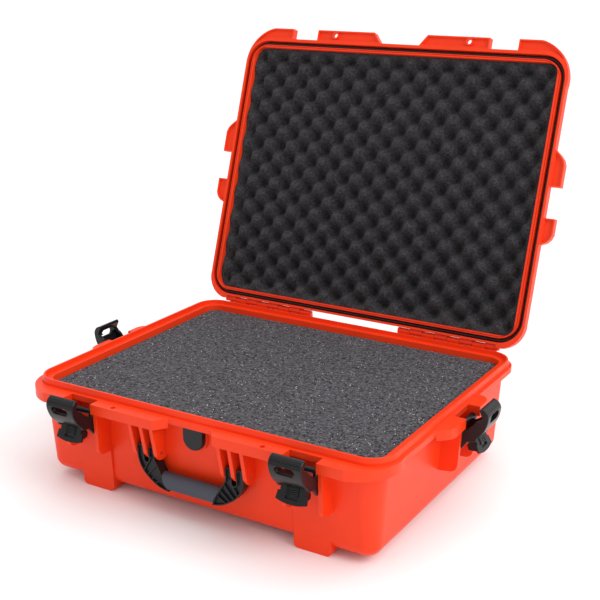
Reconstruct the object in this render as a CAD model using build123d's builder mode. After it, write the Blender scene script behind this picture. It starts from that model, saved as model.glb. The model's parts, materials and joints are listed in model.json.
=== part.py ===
"""A hard equipment case with its lid open: moulded base and lid, foam set, seal, hinge, four claw
latches, carrying handle and pressure valve.  Millimetres, +X right, +Y towards the hinge, +Z up.
The origin lies on the floor under the middle of the open case."""

import os
from math import cos, radians, sin, tan

from build123d import *

os.makedirs("parts", exist_ok=True)

# ---- driving dimensions -------------------------------------------------------------------------
inside_length = 559.0          # payload space, left to right
inside_width = 432.0           # payload space, front to back
inside_corner = 24.0
wall = 4.0
base_y = -71.3                 # the middle of the base stands in front of the origin

foot_height = 11.0
tongue_top = 162.0             # top of the sealing tongue above the floor
tongue_height = 9.5
tongue_width = 5.0
tongue_lean = 18.4             # degrees, the tongue's outer face above the lid's seam
lip_height = 3.0               # the ledge inside the tongue, above the rim
seal_length = 585.0            # centre line of the tongue and of the lid's gasket
seal_width = 455.0
seal_corner = 35.0

rim_half_length = 300.0        # plain rim
rim_half_width = 236.0
rim_back = 234.6               # the rim stops just short of the hinge knuckles
rim_corner = 45.0
rim_thickness = 8.5
lobe_reach = 18.5              # how far the bumper lobes stand out from the plain rim
lobe_height = 15.0

outer_length = 574.0           # outside of the base's walls under the rim
outer_front = 226.0            # the two front corners, from the middle of the base
outer_back = 221.0
outer_corner = 30.0
draft = 3.8                    # degrees, outside walls
panel_front = 220.0            # the set-back middle of the front
panel_draft = 2.4
cavity_draft = 2.8             # degrees, inside walls
bottom_radius = 18.0
hollow_radius = 12.0           # where the hollow's walls meet its floor
pad_edge = 156.0

lid_seam = 156.0               # height of the lid's rim face when the lid is shut
lid_rim_height = 14.5
lid_lobe_step = 1.5            # the lobes stop short of the rim face
lobe_border = 2.6              # raised edge round the hollowed face of each lid lobe
lobe_pocket_depth = 4.0
lobe_web = 1.8                 # left between the lobe's two pockets round the padlock hole
padlock_x = 125.5
padlock_y = -246.5
padlock_radius = 4.0
lid_corner = 26.0
lid_inside_corner = 18.0
corner_overlap = 4.0           # the lid's hinge corners start this far inside the hinge's end
lid_top = 212.0
lid_pad_height = 11.0
lid_inside_length = 566.0
lid_inside_width = 438.0
groove_width = 7.0
lip_line_inset = 5.6           # a fine groove in the lip between the gasket and the foam
lip_line_width = 1.6
groove_depth = 11.6
gasket_radius = 2.6
lid_open_angle = 108.66

hinge_y = 239.6                # from the middle of the base
hinge_z = 163.4
hinge_inner = 84.0             # the two knuckle rows run from here to hinge_outer
hinge_outer = 262.0
knuckle_count = 8
knuckle_radius = 4.5
knuckle_gap = 0.6
hinge_pin_radius = 1.5
bore_clearance = 0.05
shelf_top = 157.2

latch_spacing = 186.0          # front latches, from the middle
notch_half = 25.0              # half the width of the notch that a latch works in
recess_depth = 14.8            # in from the plain rim's edge
recess_middle = 134.0
recess_height = 20.0
ear_thickness = 6.0
ear_reach = 14.0
socket_wall = 1.6              # what closes the blind sockets of the latch pins
claw_pivot = (5.0, 112.0)      # outward from the rim, above the floor
link_pivot = (27.8, 124.8)
front_lean = 6.0               # degrees, how much further out the two front claws stand
claw_half = 24.3
claw_plate = 5.0
latch_pin_radius = 2.0
cross_bar = (8.0, 138.0)
cross_bar_radius = 4.2
lever_roll = 3.6               # radius of the lever's eye
flap_top = (30.0, 122.5)       # outer face of the lever's flap, at its upper end
flap_lean = 27.3               # degrees from upright, lower end outward
flap_length = 20.5             # along its sides; the lower edge bulges beyond this
flap_bulge = 4.0
cheek_thickness = 3.0          # the lever's two deep side walls, inside the claw's plates
flap_thickness = 5.0
wing_thickness = 2.5           # the flap's sides, which pass over the claw's plates
wing_start = 9.0
wing_half = 23.4
slide_half = 9.0               # half the width of the slide lock in each release lever
slide_start = 1.6              # along the flap
slide_length = 11.6
slide_travel = 4.0
slide_sunk = 2.0
slide_proud = 1.3
slide_ridges = 4
ridge_pitch = 2.7
ridge_groove = 1.1
ridge_sweep = 13.0             # radius of the curved ridges
grip_line_radius = 0.7
window_middle = (46.5, 154.5)  # the round-ended window in the claw's face
window_tilt = 16.0             # degrees, how far the face looks down
window_width = 30.0
window_height = 12.5
plate_chamfer = 1.0
lever_chamfer = 0.9

handle_ribs = (56.5, 74.5, 94.0)
handle_rib_thickness = 6.0
handle_pin_out = -231.0        # handle pin, from the middle of the base
handle_pin_z = 94.0
handle_pin_radius = 2.5
handle_side_gap = 0.8
grip_z = 53.4
grip_half_height = 12.8
grip_top_half = 50.0           # half-length of the grip along its top
grip_low_half = 37.0           # and along its underside
grip_core = 7.0                # half the height of the handle's bar inside the grip
handle_half_thickness = 8.0
arm_border = 1.8               # raised edge round the hollowed front of each arm
arm_pocket_depth = 3.0
arm_rib_width = 1.6
arm_ribs = ((60, 59, 50), (53, 53, 58), (68, 65, 42), (76, 71, 30))   # x, z, turn in degrees
fork_inner = 60.3              # the fork's two outer sides, from the middle
fork_outer = 90.3
fork_root = 82.0               # bottom of the fork's slot
tip_base = 99.0                # the fork's rounded tips
tip_top = 104.0

valve_z = 126.0
valve_radius = 17.0
valve_shoulder = 143.4         # the valve's straight sides run up to here, under the rim
valve_face_y = -222.0          # flat boss that the valve seats on
valve_bore = 11.0

foam_top = 148.0
foam_mid = 88.0
foam_low = 28.0
foam_gap = 0.6


# ---- reference planes ---------------------------------------------------------------------------
def level(height):
    """Horizontal plane at a height above the floor, centred on the base."""
    return Plane(origin=(0, base_y, height))


def side_plane(x):
    """Plane facing +X at this x; its own x runs back from the middle of the base, its y up."""
    return Plane(origin=(x, base_y, 0), x_dir=(0, 1, 0), z_dir=(1, 0, 0))


def front_plane(y):
    """Plane facing the front at this distance from the middle of the base."""
    return Plane(origin=(0, base_y + y, 0), x_dir=(1, 0, 0), z_dir=(0, -1, 0))


swing = radians(lid_open_angle)
lid_up = Vector(0, sin(swing), cos(swing))       # what is upward on the shut lid, leaning back now
lid_back = Vector(0, cos(swing), -sin(swing))    # what is backward on the shut lid
hinge_centre = Vector(0, base_y + hinge_y, hinge_z)


def lid_level(height):
    """The plane that is level at this height when the lid is shut, swung open about the hinge."""
    origin = hinge_centre + lid_up * (height - hinge_z) - lid_back * hinge_y
    return Plane(origin=origin, x_dir=(1, 0, 0), z_dir=lid_up)


def lid_side_plane(x):
    """side_plane for the lid: drawn as if the lid were shut."""
    origin = Vector(x, 0, 0) + hinge_centre - lid_up * hinge_z - lid_back * hinge_y
    return Plane(origin=origin, x_dir=lid_back, z_dir=(1, 0, 0))


def latch_plane(place):
    """Side view of a latch: x outward from the plain rim, y up, normal along the rim."""
    spots = {
        "front_left": ((-latch_spacing, base_y - rim_half_width, 0), (0, -1, 0)),
        "front_right": ((latch_spacing, base_y - rim_half_width, 0), (0, -1, 0)),
        "side_left": ((-rim_half_length, base_y, 0), (-1, 0, 0)),
        "side_right": ((rim_half_length, base_y, 0), (1, 0, 0)),
    }
    origin, outward = spots[place]
    return Plane(origin=origin, x_dir=outward, z_dir=Vector(*outward).cross(Vector(0, 0, 1)))


def claw_plane(place):
    """latch_plane swung about the claw's pivot, for the claws that stand further out."""
    side_view = latch_plane(place)
    lean = radians(front_lean) if place.startswith("front") else 0.0
    out = side_view.x_dir
    up = side_view.y_dir
    leaning_out = out * cos(lean) - up * sin(lean)
    leaning_up = up * cos(lean) + out * sin(lean)
    pivot = side_view.from_local_coords(Vector(claw_pivot[0], claw_pivot[1], 0))
    origin = pivot - leaning_out * claw_pivot[0] - leaning_up * claw_pivot[1]
    return Plane(origin=origin, x_dir=leaning_out, z_dir=side_view.z_dir)


latch_places = ("front_left", "front_right", "side_left", "side_right")


# ---- shared outlines ----------------------------------------------------------------------------
def lobe_outline():
    """Right half of the rim seen from above, with its lobes and latch notches."""
    far = rim_half_length + lobe_reach
    front = -rim_half_width - lobe_reach
    inner_notch = latch_spacing - notch_half
    outer_notch = latch_spacing + notch_half
    with BuildSketch() as half:
        with BuildLine():
            Polyline(
                (0, rim_back), (0, -rim_half_width), (36, -rim_half_width), (50, front),
                (inner_notch, front), (inner_notch, -rim_half_width),
                (outer_notch, -rim_half_width), (outer_notch, front), (250, front),
            )
            ThreePointArc((250, front), (283, -236), (rim_half_length, -180))
            Polyline(
                (rim_half_length, -180), (rim_half_length, -84), (far - 9, -76), (far - 3, -69),
                (far, -61), (far, -notch_half), (rim_half_length, -notch_half),
                (rim_half_length, notch_half), (far, notch_half),
                (far, 50), (far - 3, 58), (far - 9, 64), (rim_half_length, 68),
                (rim_half_length, rim_back - rim_corner),
            )
            RadiusArc(
                (rim_half_length, rim_back - rim_corner),
                (rim_half_length - rim_corner, rim_back), -rim_corner,
            )
            Line((rim_half_length - rim_corner, rim_back), (0, rim_back))
        make_face()
    return half.sketch


def rim_outline():
    """The whole rim, lobes included."""
    with BuildSketch() as outline:
        add(lobe_outline())
        mirror(about=Plane.YZ)
    return outline.sketch


def plain_rim():
    """The rim without its lobes."""
    with BuildSketch() as plain:
        with Locations((0, (rim_back - rim_half_width) / 2)):
            RectangleRounded(2 * rim_half_length, rim_half_width + rim_back, rim_corner)
    return plain.sketch


def lobes_only():
    """The bumper lobes that stand out beyond the plain rim."""
    with BuildSketch() as lobes:
        add(rim_outline())
        add(plain_rim(), mode=Mode.SUBTRACT)
    return lobes.sketch


def lobe_pockets():
    """The hollows in the lid's lobes, with a boss left round each padlock hole."""
    with BuildSketch() as pockets:
        for lobe in lobes_only().faces():
            add(offset(lobe, amount=-lobe_border, kind=Kind.INTERSECTION, mode=Mode.PRIVATE))
        with Locations((-padlock_x, padlock_y), (padlock_x, padlock_y)):
            Circle(padlock_radius + lobe_border, mode=Mode.SUBTRACT)
    return pockets.sketch


def hinge_corner():
    """Corner of the lid's rim beyond the hinge, carried back as far as the hinge's axis."""
    start = hinge_outer - corner_overlap
    with BuildSketch() as corner:
        with BuildLine():
            Polyline((rim_half_length, 196), (start, 196), (start, hinge_y), (hinge_outer + 6, hinge_y))
            ThreePointArc((hinge_outer + 6, hinge_y), (289, 227), (rim_half_length, 196))
        make_face()
    return corner.sketch


def seal_outline(width):
    """Everything inside the seal's centre line, wider by half this on every side."""
    with BuildSketch() as outline:
        RectangleRounded(seal_length + width, seal_width + width, seal_corner + width / 2)
    return outline.sketch


def seal_ring(width, inset=0.0):
    """A band of this width along the seal's centre line, or set in from it."""
    with BuildSketch() as ring:
        add(seal_outline(width - 2 * inset))
        add(seal_outline(-width - 2 * inset), mode=Mode.SUBTRACT)
    return ring.sketch


def arch(radius):
    """Round below and straight above, up to just under the rim: the valve's outline."""
    with BuildSketch() as outline:
        with Locations((0, valve_z)):
            Circle(radius)
        with Locations((0, (valve_z + valve_shoulder) / 2)):
            Rectangle(2 * radius, valve_shoulder - valve_z)
    return outline.sketch


# ---- hinge --------------------------------------------------------------------------------------
knuckle_pitch = (hinge_outer - hinge_inner) / knuckle_count


def knuckle_middles(first):
    """Middles of every other knuckle, both rows; first is 0 for the base's, 1 for the lid's."""
    middles = []
    for side in (-1, 1):
        for index in range(first, knuckle_count, 2):
            middles.append(side * (hinge_inner + (index + 0.5) * knuckle_pitch))
    return middles


def base_knuckle_profile():
    with BuildSketch() as profile:
        with Locations((hinge_y, hinge_z)):
            Circle(knuckle_radius)
        with BuildLine():
            Polyline(
                (224, 145), (224, 152), (hinge_y - knuckle_radius, 152),
                (hinge_y - knuckle_radius, hinge_z), (hinge_y + knuckle_radius, hinge_z),
                (hinge_y + knuckle_radius, 152), (236, 140), (218, 134), (218, 145), (224, 145),
            )
        make_face()
    return profile.sketch


def hinge_shelf_profile():
    """The shelf that carries the base's knuckles and closes the gap under the lid's."""
    with BuildSketch() as profile:
        with BuildLine():
            Polyline(
                (224, 145), (224, 152), (235.3, 152), (235.3, shelf_top), (243.6, shelf_top),
                (hinge_y + knuckle_radius, 152), (236, 140), (218, 134), (218, 145), (224, 145),
            )
        make_face()
    return profile.sketch


def lid_knuckle_profile():
    with BuildSketch() as profile:
        with Locations((hinge_y, hinge_z)):
            Circle(knuckle_radius)
        with BuildLine():
            Polyline(
                (232, 160), (hinge_y, hinge_z - knuckle_radius),
                (hinge_y + knuckle_radius, hinge_z), (hinge_y + knuckle_radius, 167),
                (238, 175), (232, 178), (222, 178), (222, 171), (232, 171), (232, 160),
            )
        make_face()
    return profile.sketch


knuckle_length = knuckle_pitch - knuckle_gap
floor_height = foot_height + wall
base_rim_top = tongue_top - tongue_height
base_pin_half = notch_half + ear_thickness - socket_wall
link_pin_half = claw_half - socket_wall

# ---- base shell ---------------------------------------------------------------------------------
with BuildPart() as base_hollow:
    with BuildSketch(level(tongue_top)):
        RectangleRounded(inside_length, inside_width, inside_corner)
    extrude(amount=-(tongue_top - floor_height), taper=cavity_draft)
    fillet(base_hollow.faces().sort_by(Axis.Z)[0].edges(), radius=hollow_radius)

with BuildPart() as base_shell:
    # drafted box, drawn at the rim and narrowing to the bottom
    with BuildSketch(level(base_rim_top)):
        with Locations((0, (outer_back - outer_front) / 2)):
            RectangleRounded(outer_length, outer_back + outer_front, outer_corner)
    extrude(amount=-(base_rim_top - foot_height), taper=draft)
    fillet(base_shell.faces().sort_by(Axis.Z)[0].edges(), radius=bottom_radius)
    # the middle of the front is set back between the two corners
    panel_top = -panel_front
    panel_low = panel_top + (base_rim_top - foot_height - bottom_radius) * tan(radians(panel_draft))
    with BuildSketch(side_plane(0)):
        with BuildLine():
            Polyline(
                (panel_top - 20, -9), (panel_top - 20, base_rim_top), (panel_top, base_rim_top),
                (panel_low, foot_height + bottom_radius),
            )
            RadiusArc(
                (panel_low, foot_height + bottom_radius),
                (panel_low + bottom_radius, foot_height), -bottom_radius,
            )
            Polyline(
                (panel_low + bottom_radius, foot_height), (panel_low + bottom_radius, -9),
                (panel_top - 20, -9),
            )
        make_face()
    extrude(amount=pad_edge, both=True, mode=Mode.SUBTRACT)
    # feet, flush with the walls above them
    for row, face, depth in ((-1, -217.5, 40), (1, 213.5, -40)):
        for side in (-1, 1):
            with BuildSketch(front_plane(face)):
                with Locations((side * (pad_edge + 29), 14)):
                    RectangleRounded(58, 28, 8)
            extrude(amount=-depth)
    # rim plate and lobes
    with BuildSketch(level(base_rim_top)):
        add(rim_outline())
    extrude(amount=-rim_thickness)
    with BuildSketch(level(base_rim_top)):
        add(lobes_only())
    extrude(amount=-lobe_height)
    # sealing tongue, leaning in towards its top so that the lid's lip swings clear of it
    with BuildSketch(level(base_rim_top)):
        add(seal_outline(tongue_width))
    extrude(amount=lid_seam - base_rim_top)
    with BuildSketch(level(lid_seam)):
        add(seal_outline(tongue_width))
    extrude(amount=tongue_top - lid_seam, taper=tongue_lean)
    with BuildSketch(level(base_rim_top + lip_height)):
        add(seal_outline(-tongue_width))
    extrude(amount=tongue_height - lip_height, mode=Mode.SUBTRACT)
    # latch ears, two in each place
    for place in latch_places:
        for side in (-1, 1):
            ear = latch_plane(place).offset(side * (notch_half + ear_thickness / 2))
            with BuildSketch(ear):
                with BuildLine():
                    Polyline((-24, 146), (ear_reach, 146), (ear_reach - 3, 82))
                    ThreePointArc((ear_reach - 3, 82), (ear_reach - 7, 73.5), (-1, 70))
                    Polyline((-1, 70), (-24, 68), (-24, 146))
                make_face()
            extrude(amount=ear_thickness / 2, both=True)
    # shallow recess behind each latch, where the claw's cross bar lies when it is shut
    for place in latch_places:
        with BuildSketch(latch_plane(place)):
            with Locations((-recess_depth / 2, recess_middle)):
                Rectangle(recess_depth, recess_height)
        extrude(amount=notch_half, both=True, mode=Mode.SUBTRACT)
    # handle ribs, deep under the rim and narrow at the pins
    for side in (-1, 1):
        for x in handle_ribs:
            with BuildSketch(side_plane(side * x)):
                with BuildLine():
                    Polyline(
                        (-212, 148), (-250, 148), (-250, 134), (-241, 92), (-235, 84),
                        (-226, 83), (-212, 88), (-212, 148),
                    )
                make_face()
            extrude(amount=handle_rib_thickness / 2, both=True)
    # small gussets outside the front ears
    for side in (-1, 1):
        with BuildSketch(side_plane(side * 232)):
            with BuildLine():
                Polyline((-214, 146), (-246, 146), (-240, 134), (-214, 118), (-214, 146))
            make_face()
        extrude(amount=2.5, both=True)
    # flat boss for the pressure valve
    with BuildSketch(front_plane(valve_face_y)):
        add(arch(valve_radius + 3))
    extrude(amount=-8)
    # hinge shelf and knuckles
    for side in (-1, 1):
        with BuildSketch(side_plane(side * hinge_inner)):
            add(hinge_shelf_profile())
        extrude(amount=side * (hinge_outer - hinge_inner - corner_overlap - knuckle_gap))
    for x in knuckle_middles(0):
        with BuildSketch(side_plane(x)):
            add(base_knuckle_profile())
        extrude(amount=knuckle_length / 2, both=True)
    # hollow for the foam
    add(base_hollow.part, mode=Mode.SUBTRACT)
    # bores: hinge pins, latch pins, handle pins, padlock holes, valve
    for side in (-1, 1):
        with BuildSketch(side_plane(side * (hinge_inner - 2))):
            with Locations((hinge_y, hinge_z)):
                Circle(hinge_pin_radius + bore_clearance)
        extrude(amount=side * (hinge_outer - hinge_inner + 4), mode=Mode.SUBTRACT)
        with BuildSketch(side_plane(side * 50)):
            with Locations((handle_pin_out, handle_pin_z)):
                Circle(handle_pin_radius + bore_clearance)
        extrude(amount=side * 50, mode=Mode.SUBTRACT)
    for place in latch_places:
        with BuildSketch(latch_plane(place)):
            with Locations(claw_pivot):
                Circle(latch_pin_radius + bore_clearance)
        extrude(amount=base_pin_half, both=True, mode=Mode.SUBTRACT)
    with BuildSketch(level(base_rim_top)):
        with Locations((-padlock_x, padlock_y), (padlock_x, padlock_y)):
            Circle(padlock_radius)
    extrude(amount=-lobe_height, mode=Mode.SUBTRACT)
    with BuildSketch(front_plane(valve_face_y)):
        with Locations((0, valve_z)):
            Circle(valve_bore)
    extrude(amount=-12, mode=Mode.SUBTRACT)

base_shell.part.label = "base_shell"
export_step(base_shell.part, "parts/base_shell.step")

# ---- lid shell ----------------------------------------------------------------------------------
with BuildPart() as lid_hollow:
    with BuildSketch(lid_level(lid_seam)):
        RectangleRounded(lid_inside_length, lid_inside_width, lid_inside_corner)
    extrude(amount=lid_top - wall - lid_seam, taper=cavity_draft)
    lid_ceiling = lid_hollow.faces().sort_by(Axis(hinge_centre, lid_up))[-1]
    fillet(lid_ceiling.edges(), radius=hollow_radius)

with BuildPart() as lid_shell:
    with BuildSketch(lid_level(lid_seam)):
        RectangleRounded(lid_inside_length + 2 * wall, lid_inside_width + 2 * wall, lid_corner)
    extrude(amount=lid_top - lid_seam, taper=panel_draft)
    lid_top_face = lid_shell.faces().sort_by(Axis(hinge_centre, lid_up))[-1]
    fillet(lid_top_face.edges(), radius=bottom_radius)
    with BuildSketch(lid_level(lid_seam)):
        add(plain_rim())
        add(hinge_corner())
        mirror(hinge_corner(), about=Plane.YZ)
    extrude(amount=lid_rim_height)
    with BuildSketch(lid_level(lid_seam + lid_lobe_step)):
        add(lobes_only())
    extrude(amount=lid_rim_height - lid_lobe_step)
    # each lobe is hollowed on its seam side, with a raised edge and a boss round the padlock hole
    with BuildSketch(lid_level(lid_seam + lid_lobe_step)):
        add(lobe_pockets())
    extrude(amount=lobe_pocket_depth, mode=Mode.SUBTRACT)
    # and pocketed from the other side behind the padlock hole
    with BuildSketch(lid_level(lid_seam + lid_rim_height)):
        with Locations((-padlock_x, padlock_y), (padlock_x, padlock_y)):
            RectangleRounded(26, 12.4, 4)
    back_pocket = lid_rim_height - lid_lobe_step - lobe_pocket_depth - lobe_web
    extrude(amount=-back_pocket, mode=Mode.SUBTRACT)
    # raised pads that the next case's feet stand between
    for side in (-1, 1):
        with BuildSketch(lid_level(lid_top - wall)):
            with Locations((side * 190, 0)):
                RectangleRounded(70, 330, 12)
        extrude(amount=wall + lid_pad_height, taper=8)
    # knuckles
    for x in knuckle_middles(1):
        with BuildSketch(lid_side_plane(x)):
            add(lid_knuckle_profile())
        extrude(amount=knuckle_length / 2, both=True)
    # hollow, gasket groove, bores
    add(lid_hollow.part, mode=Mode.SUBTRACT)
    with BuildSketch(lid_level(lid_seam)):
        add(seal_ring(groove_width))
    extrude(amount=groove_depth, mode=Mode.SUBTRACT)
    with BuildSketch(lid_level(lid_seam)):
        add(seal_ring(lip_line_width, lip_line_inset))
    extrude(amount=lip_line_width, mode=Mode.SUBTRACT)
    for side in (-1, 1):
        with BuildSketch(side_plane(side * (hinge_inner - 2))):
            with Locations((hinge_y, hinge_z)):
                Circle(hinge_pin_radius + bore_clearance)
        extrude(amount=side * (hinge_outer - hinge_inner + 4), mode=Mode.SUBTRACT)
    with BuildSketch(lid_level(lid_seam)):
        with Locations((-padlock_x, padlock_y), (padlock_x, padlock_y)):
            Circle(padlock_radius)
    extrude(amount=lid_rim_height, mode=Mode.SUBTRACT)

lid_shell.part.label = "lid_shell"
export_step(lid_shell.part, "parts/lid_shell.step")

# ---- lid gasket ---------------------------------------------------------------------------------
gasket_level = lid_seam + groove_depth - gasket_radius
with BuildSketch(lid_level(gasket_level)) as seal_line:
    RectangleRounded(seal_length, seal_width, seal_corner)
seal_path = seal_line.sketch.face().outer_wire()
with BuildPart() as lid_gasket:
    with BuildSketch(Plane(origin=seal_path @ 0, z_dir=seal_path % 0)) as section:
        Circle(gasket_radius)
    sweep(section.sketch, path=seal_path)

lid_gasket.part.label = "lid_gasket"
export_step(lid_gasket.part, "parts/lid_gasket.step")


# ---- foam set -----------------------------------------------------------------------------------
def base_foam(top, bottom):
    """One foam layer, as wide as the hollow at its own height less a little clearance."""
    shrink = 2 * (tongue_top - top) * tan(radians(cavity_draft)) + 2 * foam_gap
    with BuildPart() as layer:
        with BuildSketch(level(top)):
            RectangleRounded(inside_length - shrink, inside_width - shrink, inside_corner - shrink / 2)
        extrude(amount=bottom - top, taper=cavity_draft)
    return layer.part


for name, top, bottom in (
    ("base_foam_top", foam_top, foam_mid),
    ("base_foam_middle", foam_mid, foam_low),
    ("base_foam_bottom", foam_low, floor_height),
):
    with BuildPart() as foam:
        add(base_foam(top, bottom))
        if bottom == floor_height:
            fillet(foam.faces().sort_by(Axis.Z)[0].edges(), radius=hollow_radius)
    foam.part.label = name
    export_step(foam.part, f"parts/{name}.step")

with BuildPart() as lid_foam:
    with BuildSketch(lid_level(lid_seam + 2)):
        RectangleRounded(
            lid_inside_length - 2 * foam_gap, lid_inside_width - 2 * foam_gap, lid_inside_corner
        )
    extrude(amount=lid_top - wall - lid_seam - 2, taper=cavity_draft)
    lid_foam_back = lid_foam.faces().sort_by(Axis(hinge_centre, lid_up))[-1]
    fillet(lid_foam_back.edges(), radius=hollow_radius)

lid_foam.part.label = "lid_foam"
export_step(lid_foam.part, "parts/lid_foam.step")

# ---- hinge pins ---------------------------------------------------------------------------------
for name, side in (("hinge_pin_left", -1), ("hinge_pin_right", 1)):
    with BuildPart() as hinge_pin:
        with BuildSketch(side_plane(side * (hinge_inner - 1))):
            with Locations((hinge_y, hinge_z)):
                Circle(hinge_pin_radius)
        extrude(amount=side * (hinge_outer - hinge_inner + 2))
    hinge_pin.part.label = name
    export_step(hinge_pin.part, f"parts/{name}.step")

# ---- latches ------------------------------------------------------------------------------------
pivot_x, pivot_z = claw_pivot
link_x, link_z = link_pivot
claw_inside = claw_half - claw_plate


def claw_outline():
    """Side view of a claw standing open: pivot eye, arm, jaw, hook and the cross bar's eye."""
    bar_x, bar_z = cross_bar
    with BuildSketch() as outline:
        with BuildLine():
            Polyline((-4, 112), (-4, 118), (bar_x - 4.6, bar_z))
            ThreePointArc((bar_x - 4.6, bar_z), (bar_x, bar_z + 4.6), (bar_x + 4.6, bar_z))
            Polyline((bar_x + 4.6, bar_z), (14, 133))
            ThreePointArc((14, 133), (23, 139.5), (32, 149.5))
            Polyline((32, 149.5), (37, 152.5), (41, 157), (36.5, 167.5), (38.5, 170.5))
            ThreePointArc((38.5, 170.5), (46, 167.5), (50.5, 157))
            ThreePointArc((50.5, 157), (48, 145), (34.4, 124.6))
            Polyline(
                (34.4, 124.6), (33, 120.2), (23.4, 117.6), (20.6, 116.9), (14.2, 107.4),
                (11.5, 103.8), (9, 103.5),
            )
            ThreePointArc((9, 103.5), (-2, 106), (-4, 112))
        make_face()
    return outline.sketch


def claw_grip_lines():
    """Fine grip lines along the crown of the hook."""
    with BuildSketch() as lines:
        with Locations((42.6, 170.0), (45.6, 168.2), (48.0, 165.4), (49.9, 161.8)):
            Circle(grip_line_radius)
    return lines.sketch


def claw_front_cut():
    """What is hollow between the claw's side plates, leaving the face, the hook and the jaw."""
    with BuildSketch() as cut:
        with BuildLine():
            Polyline(
                (-6, 100), (-6, 145), (14, 145), (22, 141), (34.5, 153), (37.5, 155), (43, 152.5),
                (45, 149), (41.5, 142), (35.8, 132.5), (31.4, 125.6), (36.5, 123.2), (40, 98),
                (-6, 100),
            )
        make_face()
    return cut.sketch


flap_down = (sin(radians(flap_lean)), -cos(radians(flap_lean)))
flap_out = (cos(radians(flap_lean)), sin(radians(flap_lean)))


def on_flap(along, out):
    """A point of the side view, measured down the flap's outer face and outward from it."""
    return (
        flap_top[0] + along * flap_down[0] + out * flap_out[0],
        flap_top[1] + along * flap_down[1] + out * flap_out[1],
    )


def lever_outline():
    """Side view of the release lever's middle: eye on the link pin and the root of the flap."""
    with BuildSketch() as outline:
        with Locations(link_pivot):
            Circle(lever_roll)
        with BuildLine():
            Polyline(
                on_flap(flap_length, -flap_thickness), on_flap(-1.5, -flap_thickness),
                on_flap(-1.5, -1.5), on_flap(0, 0), on_flap(flap_length, 0),
                on_flap(flap_length, -flap_thickness),
            )
        make_face()
    return outline.sketch


def cheek_outline():
    """Side view of the lever's deep side walls, short enough to fold in past the base pin."""
    with BuildSketch() as outline:
        with BuildLine():
            Polyline(
                on_flap(18.5, -1), on_flap(18.5, -5), on_flap(13, -16.5), on_flap(6, -15.5),
                on_flap(-1.5, -5), on_flap(-1.5, -1.5), on_flap(18.5, -1),
            )
        make_face()
    return outline.sketch


def flap_plane(side_view):
    """The flap's outer face: x along the latch's pins, y down the flap, normal inward."""
    origin = side_view.from_local_coords(Vector(flap_top[0], flap_top[1], 0))
    outward = side_view.x_dir * flap_out[0] + side_view.y_dir * flap_out[1]
    return Plane(origin=origin, x_dir=side_view.z_dir, z_dir=-outward)


def flap_front(down):
    """Front view of the flap, widest low down and with a bulging lower edge."""
    low = down * flap_length
    with BuildSketch() as front:
        with BuildLine():
            Polyline(
                (-wing_half, low), (-wing_half + 1.6, down * wing_start),
                (wing_half - 1.6, down * wing_start), (wing_half, low),
            )
            ThreePointArc((wing_half, low), (0, low + down * flap_bulge), (-wing_half, low))
        make_face()
    return front.sketch


def ridge_groove_outline(down, along):
    """One curved groove between the ridges of the slide lock."""
    centre = down * (along - ridge_sweep)
    with BuildSketch() as groove:
        with Locations((0, centre)):
            Circle(ridge_sweep + ridge_groove / 2)
            Circle(ridge_sweep - ridge_groove / 2, mode=Mode.SUBTRACT)
        with Locations((0, centre + down * ridge_sweep)):
            Rectangle(2 * slide_half, ridge_sweep, mode=Mode.INTERSECT)
    return groove.sketch


def flap_box(start, end, sunk, proud):
    """Side view of a box let into the flap's outer face."""
    with BuildSketch() as outline:
        with BuildLine():
            Polyline(
                on_flap(start, -sunk), on_flap(end, -sunk), on_flap(end, proud),
                on_flap(start, proud), on_flap(start, -sunk),
            )
        make_face()
    return outline.sketch


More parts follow.
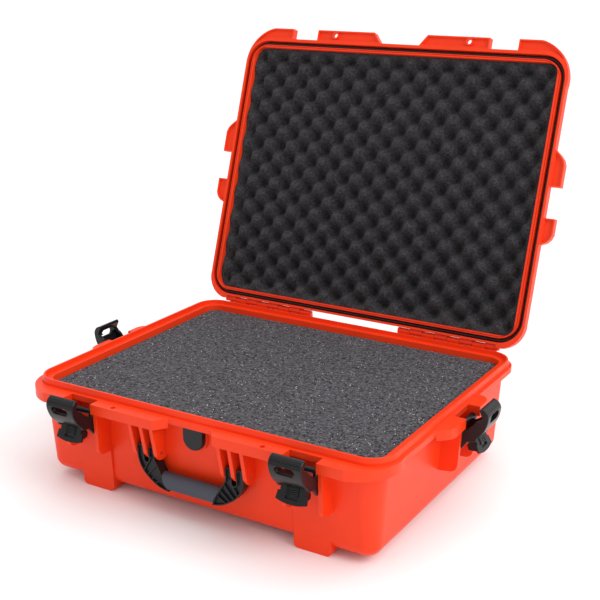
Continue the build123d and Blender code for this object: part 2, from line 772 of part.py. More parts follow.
for place in latch_places:
    side_view = claw_plane(place)
    flap_face = flap_plane(side_view)
    down = -1 if flap_face.y_dir.dot(Vector(0, 0, 1)) > 0 else 1

    with BuildPart() as claw:
        with BuildSketch(side_view):
            add(claw_outline())
        extrude(amount=claw_half, both=True)
        along_pins = Axis((0, 0, 0), tuple(side_view.z_dir))
        ends = claw.faces().filter_by(Plane(origin=(0, 0, 0), z_dir=side_view.z_dir)).sort_by(along_pins)
        chamfer(ends[0].edges() + ends[-1].edges(), length=plate_chamfer)
        with BuildSketch(side_view):
            add(claw_grip_lines())
        extrude(amount=claw_half, both=True, mode=Mode.SUBTRACT)
        with BuildSketch(side_view):
            add(claw_front_cut())
        extrude(amount=claw_inside, both=True, mode=Mode.SUBTRACT)
        # round-ended window through the face
        window_centre = side_view.from_local_coords(Vector(window_middle[0], window_middle[1], 0))
        tilt = radians(window_tilt)
        face_out = side_view.x_dir * cos(tilt) - side_view.y_dir * sin(tilt)
        with BuildSketch(Plane(origin=window_centre, x_dir=side_view.z_dir, z_dir=face_out)):
            SlotOverall(window_width, window_height)
        extrude(amount=9, both=True, mode=Mode.SUBTRACT)
        # cross bar above the pivot
        with BuildSketch(side_view):
            with Locations(cross_bar):
                Circle(cross_bar_radius)
        extrude(amount=claw_inside + 1, both=True)
        with BuildSketch(side_view):
            with Locations(claw_pivot):
                Circle(latch_pin_radius + bore_clearance)
        extrude(amount=claw_half, both=True, mode=Mode.SUBTRACT)
        with BuildSketch(side_view):
            with Locations(link_pivot):
                Circle(latch_pin_radius + bore_clearance)
        extrude(amount=link_pin_half, both=True, mode=Mode.SUBTRACT)
    claw.part.label = f"claw_{place}"
    export_step(claw.part, f"parts/claw_{place}.step")

    with BuildPart() as lever:
        with BuildSketch(side_view):
            add(lever_outline())
        extrude(amount=claw_inside - 0.8, both=True)
        for side in (-1, 1):
            with BuildSketch(side_view.offset(side * (claw_inside - 0.8 - cheek_thickness / 2))):
                add(cheek_outline())
            extrude(amount=cheek_thickness / 2, both=True)
        # the flap, wider than the claw's inside where it is clear of the plates
        with BuildSketch(flap_face):
            add(flap_front(down))
        extrude(amount=wing_thickness)
        outer_face = lever.faces().filter_by(flap_face).sort_by(Axis((0, 0, 0), (0, 0, 1)))[0]
        chamfer(outer_face.outer_wire().edges().sort_by(Axis.Z)[:1], length=lever_chamfer)
        channel_end = slide_start + slide_length + slide_travel
        with BuildSketch(side_view):
            add(flap_box(slide_start - 0.4, channel_end + 0.4, slide_sunk + 0.3, 3))
        extrude(amount=slide_half + 0.3, both=True, mode=Mode.SUBTRACT)
        with BuildSketch(side_view):
            with Locations(link_pivot):
                Circle(latch_pin_radius + bore_clearance)
        extrude(amount=claw_half, both=True, mode=Mode.SUBTRACT)
    lever.part.label = f"release_lever_{place}"
    export_step(lever.part, f"parts/release_lever_{place}.step")

    with BuildPart() as slide_lock:
        with BuildSketch(side_view):
            add(flap_box(slide_start, slide_start + slide_length, slide_sunk, slide_proud))
        extrude(amount=slide_half, both=True)
        for ridge in range(slide_ridges):
            along = slide_start + 3.2 + ridge_pitch * ridge
            with BuildSketch(flap_face.offset(-slide_proud)):
                add(ridge_groove_outline(down, along))
            extrude(amount=ridge_groove, mode=Mode.SUBTRACT)
    slide_lock.part.label = f"slide_lock_{place}"
    export_step(slide_lock.part, f"parts/slide_lock_{place}.step")

    for name, centre, reach in (
        ("base_pin", claw_pivot, base_pin_half),
        ("link_pin", link_pivot, link_pin_half),
    ):
        with BuildPart() as latch_pin:
            with BuildSketch(side_view):
                with Locations(centre):
                    Circle(latch_pin_radius)
            extrude(amount=reach, both=True)
        latch_pin.part.label = f"{name}_{place}"
        export_step(latch_pin.part, f"parts/{name}_{place}.step")

# ---- handle -------------------------------------------------------------------------------------
def grip_end(height):
    """Half-length of the grip at a height: its ends slope in towards the underside."""
    low = grip_z - grip_half_height
    slope = (grip_top_half - grip_low_half) / (2 * grip_half_height)
    return grip_low_half + slope * (height - low)


core_top = grip_z + grip_core
core_low = grip_z - grip_core


def handle_arm(side):
    """Front view of one arm, from its fork down to the sloping end of the grip."""
    low = grip_z - grip_half_height
    with BuildSketch() as arm:
        with BuildLine():
            Polyline(
                (side * grip_end(low), low), (side * grip_end(core_top + 5), core_top + 5),
                (side * fork_inner, 84), (side * fork_inner, tip_base),
            )
            ThreePointArc((side * fork_inner, tip_base), (side * 65.2, tip_top), (side * 70.1, tip_base))
            Line((side * 70.1, tip_base), (side * 78.9, tip_base))
            ThreePointArc((side * 78.9, tip_base), (side * 84.6, tip_top), (side * fork_outer, tip_base))
            Line((side * fork_outer, tip_base), (side * fork_outer, 86))
            ThreePointArc((side * fork_outer, 86), (side * 83.4, 67), (side * 67, 51.5))
            ThreePointArc((side * 67, 51.5), (side * 53, 43.8), (side * grip_end(low), low))
        make_face()
    return arm.sketch


fork_slot_half = handle_rib_thickness / 2 + handle_side_gap

with BuildPart() as handle_frame:
    with BuildSketch(front_plane(handle_pin_out)):
        for side in (-1, 1):
            add(handle_arm(side))
        with Locations((0, grip_z)):
            Rectangle(2 * grip_end(grip_z) + 6, 2 * grip_core)
    extrude(amount=handle_half_thickness, both=True)
    # forks straddle the middle ribs
    for side in (-1, 1):
        with BuildSketch(front_plane(handle_pin_out)):
            with Locations((side * handle_ribs[1], fork_root + 18)):
                Rectangle(2 * fork_slot_half, 36)
            with Locations((side * handle_ribs[1], fork_root)):
                Circle(fork_slot_half)
        extrude(amount=handle_half_thickness + 2, both=True, mode=Mode.SUBTRACT)
    # the front of each arm is hollowed between a raised edge and cross ribs
    for side in (-1, 1):
        with BuildSketch(front_plane(handle_pin_out - handle_half_thickness)):
            offset(handle_arm(side).face(), amount=-arm_border)
            with Locations((side * handle_ribs[1], fork_root + 18)):
                Rectangle(2 * (fork_slot_half + arm_border), 36, mode=Mode.SUBTRACT)
            with Locations((side * handle_ribs[1], fork_root)):
                Circle(fork_slot_half + arm_border, mode=Mode.SUBTRACT)
            for x, z, turn in arm_ribs:
                with Locations(Location((side * x, z), side * turn)):
                    Rectangle(arm_rib_width, 40, mode=Mode.SUBTRACT)
        extrude(amount=-arm_pocket_depth, mode=Mode.SUBTRACT)
    for side in (-1, 1):
        with BuildSketch(side_plane(side * 50)):
            with Locations((handle_pin_out, handle_pin_z)):
                Circle(handle_pin_radius + bore_clearance)
        extrude(amount=side * 50, mode=Mode.SUBTRACT)

handle_frame.part.label = "handle_frame"
export_step(handle_frame.part, "parts/handle_frame.step")

with BuildPart() as handle_grip:
    with BuildSketch(side_plane(-grip_top_half - 2)):
        with Locations((handle_pin_out, grip_z)):
            Ellipse(11.5, grip_half_height)
    extrude(amount=2 * grip_top_half + 4)
    with BuildSketch(front_plane(handle_pin_out)):
        with BuildLine():
            Polyline(
                (grip_low_half, grip_z - grip_half_height), (grip_top_half, grip_z + grip_half_height),
                (-grip_top_half, grip_z + grip_half_height), (-grip_low_half, grip_z - grip_half_height),
                (grip_low_half, grip_z - grip_half_height),
            )
        make_face()
    extrude(amount=14, both=True, mode=Mode.INTERSECT)
    with BuildSketch(front_plane(handle_pin_out)):
        with Locations((0, grip_z)):
            Rectangle(2 * grip_top_half + 2, 2 * grip_core)
    extrude(amount=handle_half_thickness, both=True, mode=Mode.SUBTRACT)

handle_grip.part.label = "handle_grip"
export_step(handle_grip.part, "parts/handle_grip.step")

for name, side in (("handle_pin_left", -1), ("handle_pin_right", 1)):
    with BuildPart() as handle_pin:
        with BuildSketch(side_plane(side * (handle_ribs[0] - handle_rib_thickness / 2))):
            with Locations((handle_pin_out, handle_pin_z)):
                Circle(handle_pin_radius)
        extrude(amount=side * (handle_ribs[2] - handle_ribs[0] + handle_rib_thickness))
    handle_pin.part.label = name
    export_step(handle_pin.part, f"parts/{name}.step")

# ---- pressure valve -----------------------------------------------------------------------------
valve_flange_face = valve_face_y - 4.2
valve_cap_depth = 1.8          # the cap's skirt
valve_cap_face = valve_flange_face - 3.6
o_ring_radius = 13.8           # centre line
o_ring_section = 1.4

with BuildPart() as valve_body:
    with BuildSketch(front_plane(valve_face_y)):
        add(arch(valve_radius))
    extrude(amount=valve_face_y - valve_flange_face)
    with BuildSketch(front_plane(valve_face_y)):
        with Locations((0, valve_z)):
            Circle(valve_bore - 0.3)
    extrude(amount=-5.5)
    with BuildSketch(front_plane(valve_flange_face)):
        with Locations((0, valve_z)):
            Circle(8)
    extrude(amount=valve_cap_depth)
    # seat for the O-ring, then the air way with a wider seat for the membrane
    with BuildSketch(front_plane(valve_face_y)):
        with Locations((0, valve_z)):
            Circle(o_ring_radius + o_ring_section + 0.2)
            Circle(o_ring_radius - o_ring_section - 0.2, mode=Mode.SUBTRACT)
    extrude(amount=2 * o_ring_section, mode=Mode.SUBTRACT)
    with BuildSketch(front_plane(valve_face_y + 6)):
        with Locations((0, valve_z)):
            Circle(4)
    extrude(amount=16, mode=Mode.SUBTRACT)
    with BuildSketch(front_plane(valve_face_y + 5.5)):
        with Locations((0, valve_z)):
            Circle(8.2)
    extrude(amount=3, mode=Mode.SUBTRACT)

valve_body.part.label = "valve_body"
export_step(valve_body.part, "parts/valve_body.step")

with BuildPart() as valve_o_ring:
    with BuildSketch(side_plane(0)):
        with Locations((valve_face_y - o_ring_section, valve_z + o_ring_radius)):
            Circle(o_ring_section)
    revolve(axis=Axis((0, base_y + valve_face_y, valve_z), (0, 1, 0)))

valve_o_ring.part.label = "valve_o_ring"
export_step(valve_o_ring.part, "parts/valve_o_ring.step")

with BuildPart() as valve_membrane:
    with BuildSketch(front_plane(valve_face_y + 3.5)):
        with Locations((0, valve_z)):
            Circle(8)
    extrude(amount=1)

valve_membrane.part.label = "valve_membrane"
export_step(valve_membrane.part, "parts/valve_membrane.step")

with BuildPart() as valve_cap:
    with BuildSketch(front_plane(valve_flange_face)):
        add(arch(valve_radius - 0.6))
        with Locations((0, valve_z)):
            Circle(8.05, mode=Mode.SUBTRACT)
    extrude(amount=valve_cap_depth)
    with BuildSketch(front_plane(valve_flange_face - valve_cap_depth)):
        add(arch(valve_radius - 0.6))
    extrude(amount=valve_flange_face - valve_cap_depth - valve_cap_face)
    chamfer(valve_cap.faces().sort_by(Axis.Y)[0].edges(), length=0.8)
    # curved finger slots round the face, and a coin slot
    with BuildSketch(front_plane(valve_cap_face)):
        with Locations((0, valve_z)):
            with PolarLocations(9.5, 3, start_angle=90):
                SlotArc(CenterArc((-9.5, 0), 9.5, -38, 76), 2.4)
    extrude(amount=-1.2, mode=Mode.SUBTRACT)

valve_cap.part.label = "valve_cap"
export_step(valve_cap.part, "parts/valve_cap.step")
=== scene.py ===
import json
from math import cos, pi, radians, sin

import bpy
from mathutils import Matrix, Vector, noise


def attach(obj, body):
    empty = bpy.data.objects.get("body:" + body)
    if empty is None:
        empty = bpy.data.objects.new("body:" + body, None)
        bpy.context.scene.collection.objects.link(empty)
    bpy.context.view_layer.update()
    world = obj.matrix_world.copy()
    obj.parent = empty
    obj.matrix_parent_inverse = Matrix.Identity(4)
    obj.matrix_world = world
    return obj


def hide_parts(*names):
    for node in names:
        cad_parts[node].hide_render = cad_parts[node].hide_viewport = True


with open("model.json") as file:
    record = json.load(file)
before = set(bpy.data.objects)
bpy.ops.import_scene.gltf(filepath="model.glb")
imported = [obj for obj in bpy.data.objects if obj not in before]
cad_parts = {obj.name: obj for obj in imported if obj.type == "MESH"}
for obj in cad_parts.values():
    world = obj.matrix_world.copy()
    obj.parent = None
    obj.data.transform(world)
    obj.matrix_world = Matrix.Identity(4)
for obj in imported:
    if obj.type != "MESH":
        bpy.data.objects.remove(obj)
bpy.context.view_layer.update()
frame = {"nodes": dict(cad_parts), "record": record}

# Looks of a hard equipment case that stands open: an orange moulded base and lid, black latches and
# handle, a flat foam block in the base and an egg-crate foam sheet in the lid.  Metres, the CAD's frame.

scene = bpy.context.scene


# ---- camera, floor and lights -------------------------------------------------------------------
CAMERA_PLACE = (0.86234, -1.45553, 0.77908)
CAMERA_AZIMUTH, CAMERA_ELEVATION, CAMERA_ROLL = radians(30.85), radians(17.46), radians(0.07)
CAMERA_LENS = 68.02            # mm, on a sensor 36 mm wide
CAMERA_REACH = 100.0           # past the floor's far edge
FLOOR_HALF = 24.0              # the floor fills the picture behind the case
FLOOR_GREY = 0.95
WORLD_FRONT_Y, WORLD_BACK_Y = -0.5, 0.3    # the world brightens between these directions


def add_camera():
    data = bpy.data.cameras.new("view")
    data.sensor_width = 36.0
    data.lens = CAMERA_LENS
    data.clip_end = CAMERA_REACH
    camera = bpy.data.objects.new("view", data)
    turn = Matrix.Rotation(CAMERA_AZIMUTH, 4, "Z") @ Matrix.Rotation(pi / 2 - CAMERA_ELEVATION, 4, "X")
    camera.matrix_world = Matrix.Translation(CAMERA_PLACE) @ turn @ Matrix.Rotation(CAMERA_ROLL, 4, "Z")
    scene.collection.objects.link(camera)
    scene.camera = camera


def add_floor():
    half = FLOOR_HALF
    mesh = bpy.data.meshes.new("floor")
    corners = [(-half, -half, 0), (half, -half, 0), (half, half, 0), (-half, half, 0)]
    mesh.from_pydata(corners, [], [(0, 1, 2, 3)])
    floor = bpy.data.objects.new("floor", mesh)
    scene.collection.objects.link(floor)
    material = bpy.data.materials.new("floor_paper")
    material.use_nodes = True
    shader = material.node_tree.nodes["Principled BSDF"]
    shader.inputs["Base Color"].default_value = (FLOOR_GREY, FLOOR_GREY, FLOOR_GREY, 1)
    shader.inputs["Roughness"].default_value = 0.7
    shader.inputs["Specular IOR Level"].default_value = 0.1
    mesh.materials.append(material)


def add_light(name, place, aim, size, power):
    """A round area light at this place, turned towards aim."""
    data = bpy.data.lights.new(name, "AREA")
    data.shape = "DISK"
    data.size = size
    data.energy = power
    light = bpy.data.objects.new(name, data)
    light.location = place
    light.rotation_euler = (Vector(aim) - Vector(place)).to_track_quat("-Z", "Y").to_euler()
    scene.collection.objects.link(light)


def add_sun(name, lean, spread, power):
    """A broad sun overhead, leaning by these two slopes, which lights the whole floor evenly."""
    data = bpy.data.lights.new(name, "SUN")
    data.angle = radians(spread)
    data.energy = power
    sun = bpy.data.objects.new(name, data)
    sun.rotation_euler = Vector((-lean[0], -lean[1], -1)).to_track_quat("-Z", "Y").to_euler()
    scene.collection.objects.link(sun)


def add_world(front, back):
    """White all round, a little dimmer on the side that the case faces."""
    world = bpy.data.worlds.new("studio")
    world.use_nodes = True
    tree = world.node_tree
    background = tree.nodes["Background"]
    background.inputs["Color"].default_value = (1, 1, 1, 1)
    direction = tree.nodes.new("ShaderNodeTexCoord")
    parts = tree.nodes.new("ShaderNodeSeparateXYZ")
    blend = tree.nodes.new("ShaderNodeMapRange")
    blend.inputs["From Min"].default_value = WORLD_FRONT_Y
    blend.inputs["From Max"].default_value = WORLD_BACK_Y
    blend.inputs["To Min"].default_value = front
    blend.inputs["To Max"].default_value = back
    tree.links.new(direction.outputs["Generated"], parts.inputs["Vector"])
    tree.links.new(parts.outputs["Y"], blend.inputs["Value"])
    tree.links.new(blend.outputs["Result"], background.inputs["Strength"])
    scene.world = world


# ---- materials ----------------------------------------------------------------------------------
class Nodes:
    """A few short calls for building a node material."""

    def __init__(self, name):
        self.material = bpy.data.materials.new(name)
        self.material.use_nodes = True
        self.tree = self.material.node_tree
        self.shader = self.tree.nodes["Principled BSDF"]
        self.place = self.add("ShaderNodeTexCoord").outputs["Object"]

    def add(self, kind, **settings):
        node = self.tree.nodes.new(kind)
        for key, value in settings.items():
            setattr(node, key, value)
        return node

    def join(self, source, target):
        self.tree.links.new(source, target)

    def noise(self, scale, detail=2.0, rough=0.5):
        node = self.add("ShaderNodeTexNoise")
        node.inputs["Scale"].default_value = scale
        node.inputs["Detail"].default_value = detail
        node.inputs["Roughness"].default_value = rough
        self.join(self.place, node.inputs["Vector"])
        return node.outputs["Fac"]

    def cells(self, scale):
        """Voronoi cells, each with its distance from the centre and its own random colour."""
        node = self.add("ShaderNodeTexVoronoi")
        node.inputs["Scale"].default_value = scale
        self.join(self.place, node.inputs["Vector"])
        return node

    def ramp(self, value, low, high):
        """From one colour to another, each given as (position, colour)."""
        node = self.add("ShaderNodeValToRGB")
        self.join(value, node.inputs["Fac"])
        for element, (position, colour) in zip(node.color_ramp.elements, (low, high)):
            element.position = position
            element.color = (*colour, 1)
        return node.outputs["Color"]

    def blend(self, factor, below, above):
        """Two colours mixed; above and factor may be a socket or a value."""
        node = self.add("ShaderNodeMix", data_type="RGBA")
        self.join(below, node.inputs["A"])
        for value, socket in ((factor, node.inputs["Factor"]), (above, node.inputs["B"])):
            if isinstance(value, bpy.types.NodeSocket):
                self.join(value, socket)
            elif isinstance(value, tuple):
                socket.default_value = (*value, 1)
            else:
                socket.default_value = value
        return node.outputs["Result"]

    def scaled(self, value, low, high):
        """A value that runs from 0 to 1, spread from low to high."""
        node = self.add("ShaderNodeMapRange")
        node.inputs["To Min"].default_value = low
        node.inputs["To Max"].default_value = high
        self.join(value, node.inputs["Value"])
        return node.outputs["Result"]

    def maths(self, operation, a, b):
        node = self.add("ShaderNodeMath", operation=operation)
        for socket, value in zip(node.inputs, (a, b)):
            if isinstance(value, (int, float)):
                socket.default_value = value
            else:
                self.join(value, socket)
        return node.outputs["Value"]

    def bump(self, height, depth, under=None):
        node = self.add("ShaderNodeBump")
        node.inputs["Strength"].default_value = 1.0
        node.inputs["Distance"].default_value = depth
        self.join(height, node.inputs["Height"])
        if under is not None:
            self.join(under, node.inputs["Normal"])
        return node.outputs["Normal"]

    def rounded(self, radius):
        """A normal that softens every edge to this radius."""
        node = self.add("ShaderNodeBevel", samples=6)
        node.inputs["Radius"].default_value = radius
        return node.outputs["Normal"]

    def set(self, **values):
        names = {"colour": "Base Color", "rough": "Roughness", "normal": "Normal",
                 "specular": "Specular IOR Level", "coat": "Coat Weight", "metal": "Metallic",
                 "coat_rough": "Coat Roughness", "sheen": "Sheen Weight"}
        for key, value in values.items():
            socket = self.shader.inputs[names[key]]
            if isinstance(value, bpy.types.NodeSocket):
                self.join(value, socket)
            elif isinstance(value, tuple):
                socket.default_value = (*value, 1)
            else:
                socket.default_value = value
        return self.material


# Scales are waves or cells per metre; depths and the edges' radius are in metres.
EDGE_RADIUS = 0.0009           # edges of a moulding
MOTTLE_SCALE, MOTTLE = 9.0, 0.05
WAVE_SCALE, WAVE_DEPTH = 14.0, 0.0004
GLOSS_SCALE, GLOSS_SPREAD = 60.0, 0.05
PIT_DEPTH = 0.0008             # of the foam's cells
GLINT_SCALE = 300.0            # cells that may hold a painted glint, a bright strut catching the light
GLINT_ABOVE = 0.80             # a cell holds one if its random colour is brighter than this
GLINT_RADIUS = 0.21            # in cells
# painted shade at the bottom of the lid foam's valleys
BLACK = (0.0, 0.0, 0.0)


def shade(colour, factor):
    return tuple(channel * factor for channel in colour)


def moulded(name, colour, rough, grain=1800.0, depth=0.00006, coat=0.0, specular=0.5):
    """Injection moulded plastic: fine leather-like grain over slow waves, faintly mottled, soft edges."""
    n = Nodes(name)
    slow = n.noise(MOTTLE_SCALE, detail=3.0)
    paint = n.ramp(slow, (0.3, shade(colour, 1 - MOTTLE)), (0.7, shade(colour, 1 + MOTTLE)))
    texture = n.bump(n.noise(grain, detail=1.0), depth, under=n.rounded(EDGE_RADIUS))
    waves = n.bump(n.noise(WAVE_SCALE), WAVE_DEPTH, under=texture)
    gloss = n.scaled(n.noise(GLOSS_SCALE, detail=4.0), rough - GLOSS_SPREAD, rough + GLOSS_SPREAD)
    return n.set(colour=paint, rough=gloss, normal=waves, coat=coat, coat_rough=0.15, specular=specular)


def open_cell_foam(name, dark, light, painted_glint_colour, cell, valley_painted_shade=0.0):
    """Open-cell foam: small pits and struts, with painted glints where a few bright struts would catch
    the light.
    The last argument is how much painted shade darkens the foam towards the bottom of its valleys."""
    n = Nodes(name)
    pits = n.cells(cell).outputs["Distance"]
    shades = n.ramp(pits, (0.12, light), (0.6, dark))
    patches = n.ramp(n.noise(cell * 0.55, detail=3.0, rough=0.7), (0.38, dark), (0.62, light))
    # painted highlights: glints on a few struts, put into the colour
    glints = n.cells(GLINT_SCALE)
    chosen = n.maths("GREATER_THAN", glints.outputs["Color"], GLINT_ABOVE)
    near = n.maths("LESS_THAN", glints.outputs["Distance"], GLINT_RADIUS)
    lit = n.blend(n.maths("MULTIPLY", chosen, near), n.blend(0.5, shades, patches), painted_glint_colour)
    sunk = n.add("ShaderNodeAttribute", attribute_name="sunk").outputs["Fac"]
    # painted shade: the foam darkens towards the bottom of its valleys, by their depth
    paint = n.blend(n.maths("MULTIPLY", sunk, valley_painted_shade), lit, BLACK)
    return n.set(colour=paint, rough=0.95, normal=n.bump(pits, PIT_DEPTH), specular=0.05, sheen=0.1)


def ground_steel(name):
    n = Nodes(name)
    streaks = n.noise(400.0, detail=2.0)
    return n.set(
        colour=n.ramp(streaks, (0.3, (0.45, 0.45, 0.46)), (0.7, (0.62, 0.62, 0.63))),
        rough=n.scaled(streaks, 0.25, 0.4), metal=1.0, normal=n.bump(streaks, 0.00003),
    )


ORANGE = (0.88, 0.044, 0.005)
LATCH_BLACK = (0.006, 0.006, 0.0072)
SEAL_BLACK = (0.012, 0.012, 0.013)
GRIP_GREY = (0.048, 0.054, 0.075)
materials = {
    "shell": moulded("orange_resin", ORANGE, 0.4, specular=0.27),
    "seal": moulded("seal_rubber", SEAL_BLACK, 0.35, grain=900.0),
    "latch": moulded("latch_resin", LATCH_BLACK, 0.3, coat=0.08, specular=0.28),
    "lever": moulded("lever_resin", LATCH_BLACK, 0.34, coat=0.05, specular=0.28),
    "grip": moulded("grip_rubber", GRIP_GREY, 0.6, grain=1100.0, depth=0.00012),
    "pin": ground_steel("pin_steel"),
    "membrane": moulded("membrane_film", (0.7, 0.7, 0.68), 0.6),
    "foam": open_cell_foam(
        "base_foam_cells", dark=(0.004, 0.004, 0.005), light=(0.165, 0.158, 0.177),
        # near-white painted glints
        painted_glint_colour=(0.9, 0.9, 0.92), cell=330.0),
}
# The lid's foam has painted shade that deepens towards the bottom of its valleys.
lid_foam_look = open_cell_foam(
    "lid_foam_cells", dark=(0.024, 0.0225, 0.0245), light=(0.078, 0.072, 0.079),
    # dim painted glints
    painted_glint_colour=(0.12, 0.115, 0.12), cell=360.0, valley_painted_shade=0.6)

slots = {part["node"]: part["material_slot"] for part in frame["record"]["subparts"]}
for name, node in frame["nodes"].items():
    node.data.materials.clear()
    node.data.materials.append(materials[slots[name]])


# ---- foam ---------------------------------------------------------------------------------------
MIDDLE_Y = -0.0713             # the case's middle, front to back
CAVITY_TOP = 0.162             # where the base's cavity has the size below
CAVITY_HALF_X, CAVITY_HALF_Y, CAVITY_CORNER = 0.2795, 0.216, 0.024
CAVITY_DRAFT = 0.04891         # its walls' slope, the tangent of 2.8 degrees
SIDE_CLEAR = 0.0006            # between the base's foam and its walls
BASE_LAYERS = (                # name, top, bottom, radius of its lower edge
    ("base_foam_top", 0.148, 0.088, 0.002),
    ("base_foam_middle", 0.088, 0.028, 0.002),
    ("base_foam_bottom", 0.028, 0.015, 0.0115),
)
RUB = 0.0022                   # radius of the layers' rubbed upper edges
SAW_WAVE, SAW_SCALE = 0.0004, 22.0     # a sawn face's slow waves: height, then waves per metre
SAW_GRAIN, SAW_GRAIN_SCALE = 0.00035, 240.0
LID_FOAM_HALF_X, LID_FOAM_HALF_Y, LID_FOAM_CORNER = 0.2822, 0.2182, 0.0178
LID_FOAM_FACE = 0.1588         # height of the sheet's face in the shut lid
LID_FOAM_THICK, LID_FOAM_BACK = 0.049, 0.012   # and the radius of the edge at its back
VALLEY = 0.022                 # depth of the egg-crate's valleys
PEAK_STEP = 0.046              # from one peak to the next along a row
EDGE_VALLEY, EDGE_BAND = 0.006, 0.016  # shallower valleys near the sheet's edge, and how far in
LID_WAVE, LID_WAVE_SCALE = 0.0005, 60.0
LID_GRAIN, LID_GRAIN_SCALE = 0.0003, 260.0
BASE_STEP, LID_STEP = 0.004, 0.0035    # mesh spacing
SHARP = radians(40)            # edges that turn more than this stay sharp
HINGE_Y, HINGE_Z = 0.1683, 0.1634
LID_SWING = radians(108.66)    # how far the lid stands open


def row_half(y, half_x, half_y, corner):
    """Half-length of a rounded rectangle at this y."""
    past = abs(y) - (half_y - corner)
    if past <= 0:
        return half_x
    return half_x - corner + max(corner ** 2 - past ** 2, 0.0) ** 0.5


def foam_mesh(name, half_x, half_y, corner, face, sides, step):
    """A block of foam.  face(x, y) is how far the front sinks in, sides lists (depth, inset) rings
    that go down its walls to the back, and the back is flat.  It faces +Z with its front at 0."""
    columns = int(2 * half_x / step)
    rows = int(2 * half_y / step)
    points = []
    for j in range(rows + 1):
        y = half_y * (2 * j / rows - 1)
        reach = row_half(y, half_x, half_y, corner)
        for i in range(columns + 1):
            x = reach * (2 * i / columns - 1)
            points.append((x, y, -face(x, y)))
    wide = columns + 1
    faces = []
    for j in range(rows):
        for i in range(columns):
            first = j * wide + i
            faces.append((first, first + 1, first + wide + 1, first + wide))
    edge = list(range(columns))
    edge += [j * wide + columns for j in range(rows)]
    edge += [rows * wide + i for i in range(columns, 0, -1)]
    edge += [j * wide for j in range(rows, 0, -1)]
    ring = edge
    for depth, inset in sides:
        start = len(points)
        for index in edge:
            x, y, z = points[index]
            points.append((x * (1 - inset / half_x), y * (1 - inset / half_y), min(z, -depth)))
        new_ring = list(range(start, start + len(edge)))
        for k in range(len(edge)):
            after = (k + 1) % len(edge)
            faces.append((ring[after], ring[k], new_ring[k], new_ring[after]))
        ring = new_ring
    faces.append(tuple(reversed(ring)))
    mesh = bpy.data.meshes.new(name)
    mesh.from_pydata(points, [], faces)
    mesh.validate()
    # how deep each point lies in the egg-crate's valleys; the lid foam's painted shade follows it
    sunk = mesh.attributes.new("sunk", "FLOAT", "POINT")
    sunk.data.foreach_set("value", [min(max(-z / VALLEY, 0.0), 1.0) for x, y, z in points])
    for polygon in mesh.polygons:
        polygon.use_smooth = True
    mesh.set_sharp_from_angle(angle=SHARP)
    return mesh


def round_back(depth, radius):
    """Rings down a drafted wall that end in a rounded edge at this depth."""
    wall_end = depth - radius
    levels = [depth * part for part in (0.25, 0.5, 0.75) if depth * part < wall_end] + [wall_end]
    rings = [(level, level * CAVITY_DRAFT) for level in levels]
    for turn in (22.5, 45, 67.5, 90):
        angle = radians(turn)
        inset = wall_end * CAVITY_DRAFT + radius * (1 - cos(angle))
        rings.append((wall_end + radius * sin(angle), inset))
    return rings


def ruffle(x, y, height, scale, seed):
    """Smooth noise up to this height, for a surface that isn't quite flat."""
    return height * noise.noise((x * scale, y * scale, seed))


def soft_piece(node_name, mesh, body, look):
    """Puts a foam mesh on this body in place of the CAD's plain solid."""
    piece = bpy.data.objects.new(node_name + "_cut", mesh)
    scene.collection.objects.link(piece)
    mesh.materials.append(look)
    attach(piece, body)
    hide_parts(node_name)


def add_base_foam(name, top, bottom, seed, back_radius):
    """One layer of the base's foam, sawn from a sheet: slightly wavy, its edges rubbed round."""
    shrink = (CAVITY_TOP - top) * CAVITY_DRAFT + SIDE_CLEAR
    half_x, half_y, corner = CAVITY_HALF_X - shrink, CAVITY_HALF_Y - shrink, CAVITY_CORNER - shrink

    def face(x, y):
        reach = row_half(y, half_x, half_y, corner)
        side = min(reach - abs(x), half_y - abs(y))
        sunk = SAW_WAVE + ruffle(x, y, SAW_WAVE, SAW_SCALE, seed)
        sunk += ruffle(x, y, SAW_GRAIN, SAW_GRAIN_SCALE, seed)
        if side < RUB:
            sunk += RUB * (1 - (1 - (1 - side / RUB) ** 2) ** 0.5)
        return sunk

    sides = round_back(top - bottom, back_radius)
    mesh = foam_mesh(name, half_x, half_y, corner, face, sides, BASE_STEP)
    mesh.transform(Matrix.Translation((0, MIDDLE_Y, top)))
    soft_piece(name, mesh, "root", materials["foam"])


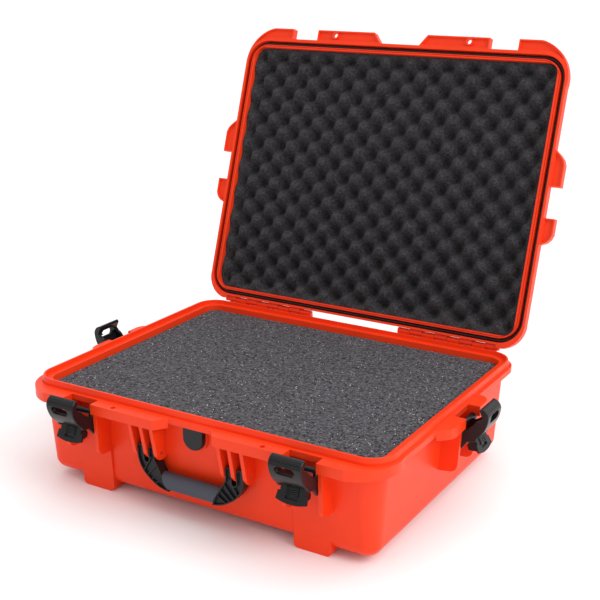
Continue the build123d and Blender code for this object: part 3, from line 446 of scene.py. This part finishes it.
def lid_place(height):
    """From a drawing of the shut lid, centred on the base at this height, to the open lid."""
    up = Vector((0, sin(LID_SWING), cos(LID_SWING)))
    back = Vector((0, cos(LID_SWING), -sin(LID_SWING)))
    hinge = Vector((0, HINGE_Y, HINGE_Z))
    origin = hinge + up * (height - HINGE_Z) - back * (HINGE_Y - MIDDLE_Y)
    turn = Matrix((Vector((1, 0, 0)), back, up)).transposed().to_4x4()
    return Matrix.Translation(origin) @ turn


def add_lid_foam():
    """Egg-crate foam: rounded peaks, each row set off by half a step, shallower near the edges."""
    half_x, half_y, corner = LID_FOAM_HALF_X, LID_FOAM_HALF_Y, LID_FOAM_CORNER

    def face(x, y):
        wave = cos(2 * pi * x / PEAK_STEP) * cos(2 * pi * y / PEAK_STEP)
        rise = 0.5 + 0.5 * wave
        side = min(row_half(y, half_x, half_y, corner) - abs(x), half_y - abs(y))
        inward = min(max(side / EDGE_BAND, 0.0), 1.0)
        here = EDGE_VALLEY + (VALLEY - EDGE_VALLEY) * inward * inward * (3 - 2 * inward)
        sunk = here * (1 - rise) + LID_WAVE + LID_GRAIN
        sunk += ruffle(x, y, LID_WAVE, LID_WAVE_SCALE, 5.0)
        sunk += ruffle(x, y, LID_GRAIN, LID_GRAIN_SCALE, 6.0)
        return sunk

    sides = round_back(LID_FOAM_THICK, LID_FOAM_BACK)
    mesh = foam_mesh("lid_foam_sheet", half_x, half_y, corner, face, sides, LID_STEP)
    mesh.transform(lid_place(LID_FOAM_FACE) @ Matrix.Rotation(pi, 4, "X"))
    soft_piece("lid_foam", mesh, "lid", lid_foam_look)


# ---- scene --------------------------------------------------------------------------------------
scene.view_settings.view_transform = "Standard"
add_camera()
add_floor()
add_world(front=0.73, back=0.94)
add_light("key", place=(2.8, -0.7, 2.3), aim=(0, 0, 0.2), size=2.0, power=50)
add_sun("sky", lean=(0.15, 0.35), spread=80, power=1.0)

for count, (name, top, bottom, back_radius) in enumerate(BASE_LAYERS, start=1):
    add_base_foam(name, top, bottom, float(count), back_radius)
add_lid_foam()
